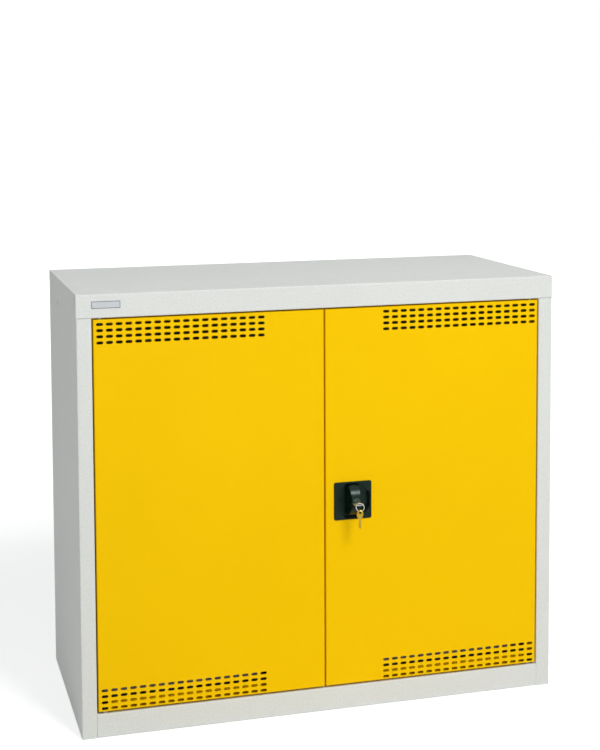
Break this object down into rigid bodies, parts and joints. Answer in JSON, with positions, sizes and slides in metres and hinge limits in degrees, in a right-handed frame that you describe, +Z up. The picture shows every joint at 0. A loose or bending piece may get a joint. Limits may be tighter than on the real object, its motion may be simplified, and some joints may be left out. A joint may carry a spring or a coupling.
{
  "type": "ventilated double-door storage cabinet",
  "caption": "Low sheet-steel cabinet with two perforated hinged doors, a turn handle that drives locking rods, tray shelves and a leak tray.",
  "frame": {"origin": "middle of the base, on the floor", "axes": "+X to the right seen from the front, +Y towards the back, +Z up"},
  "size_m": [1, 0.4837, 0.88],
  "materials": {
    "body_paint": "satin light grey powder coat",
    "door_paint": "satin yellow powder coat",
    "zinc_steel": "zinc plated",
    "black_plastic": "fine textured black",
    "buffer_rubber": "matt",
    "lock_metal": "black nickel",
    "brass": "polished",
    "key_steel": "nickel plated",
    "ring_steel": "polished"
  },
  "bodies": {
    "cabinet": {"side_wall_left": "body_paint", "side_wall_right": "body_paint", "top_cover": "body_paint", "bottom_rail": "body_paint", "floor_panel": "body_paint", "back_panel": "body_paint", "shelf_strip_front_left": "zinc_steel", "shelf_strip_front_right": "zinc_steel", "shelf_strip_rear_left": "zinc_steel", "shelf_strip_rear_right": "zinc_steel", "shelf_lower": "zinc_steel", "shelf_upper": "zinc_steel", "shelf_clips_lower": "zinc_steel", "shelf_clips_upper": "zinc_steel", "sump_tray": "zinc_steel", "hinge_pins_upper": "zinc_steel", "hinge_pins_lower": "zinc_steel", "keeper_plates": "zinc_steel", "door_buffers": "buffer_rubber"},
    "left_door": {"left_door_panel": "door_paint", "left_door_stiffener": "zinc_steel", "left_door_bushes": "black_plastic", "left_bolt_guides": "black_plastic"},
    "left_upper_bolt": {"left_upper_bolt": "zinc_steel"},
    "left_lower_bolt": {"left_lower_bolt": "zinc_steel"},
    "right_door": {"right_door_panel": "door_paint", "right_door_stiffener": "zinc_steel", "right_door_bushes": "black_plastic", "handle_plate": "black_plastic", "lock_case": "zinc_steel", "lock_case_screws": "zinc_steel", "rod_guides": "black_plastic"},
    "handle": {"turn_handle": "black_plastic", "handle_spindle": "zinc_steel", "drive_pinion": "zinc_steel", "pinion_screw": "zinc_steel", "lock_cylinder": "lock_metal"},
    "upper_rod": {"upper_rod": "zinc_steel"},
    "lower_rod": {"lower_rod": "zinc_steel"},
    "lock_plug": {"lock_plug": "lock_metal"},
    "key": {"key": "key_steel"},
    "key_ring": {"key_ring": "ring_steel"},
    "spare_key": {"spare_key": "brass"}
  },
  "joints": [
    {"name": "left_door_hinge", "type": "hinge", "parent": "cabinet", "child": "left_door", "pos_m": [-0.453, -0.2085, 0.44], "axis": [0, 0, -1], "range_deg": [0, 110]},
    {"name": "right_door_hinge", "type": "hinge", "parent": "cabinet", "child": "right_door", "pos_m": [0.453, -0.2085, 0.44], "axis": [0, 0, 1], "range_deg": [0, 110]},
    {"name": "left_upper_bolt_slide", "type": "slide", "parent": "left_door", "child": "left_upper_bolt", "axis": [0, 0, 1], "range_m": [0, 0.0185]},
    {"name": "left_lower_bolt_slide", "type": "slide", "parent": "left_door", "child": "left_lower_bolt", "axis": [0, 0, -1], "range_m": [0, 0.0185]},
    {"name": "handle_turn", "type": "hinge", "parent": "right_door", "child": "handle", "pos_m": [0.0588, -0.2175, 0.4375], "axis": [0, 1, 0], "range_deg": [0, 90]},
    {"name": "upper_rod_slide", "type": "slide", "parent": "right_door", "child": "upper_rod", "axis": [0, 0, 1], "range_m": [0, 0.0195]},
    {"name": "lower_rod_slide", "type": "slide", "parent": "right_door", "child": "lower_rod", "axis": [0, 0, -1], "range_m": [0, 0.0195]},
    {"name": "lock_plug_turn", "type": "hinge", "parent": "handle", "child": "lock_plug", "pos_m": [0.0588, -0.2425, 0.4375], "axis": [0, 1, 0], "range_deg": [0, 90]},
    {"name": "key_withdraw", "type": "slide", "parent": "lock_plug", "child": "key", "axis": [0, -1, 0], "range_m": [0, 0.024]},
    {"name": "key_ring_swing", "type": "hinge", "parent": "key", "child": "key_ring", "pos_m": [0.0598, -0.2617, 0.4408], "axis": [0.891, -0.454, 0], "range_deg": [-20, 20]},
    {"name": "spare_key_swing", "type": "hinge", "parent": "key_ring", "child": "spare_key", "pos_m": [0.0598, -0.2617, 0.4244], "axis": [0.891, -0.454, 0], "range_deg": [-20, 20]}
  ],
  "couplings": [
    {"joint": "upper_rod_slide", "follows": "handle_turn", "m_per_rad": 0.012},
    {"joint": "lower_rod_slide", "follows": "handle_turn", "m_per_rad": 0.012}
  ]
}
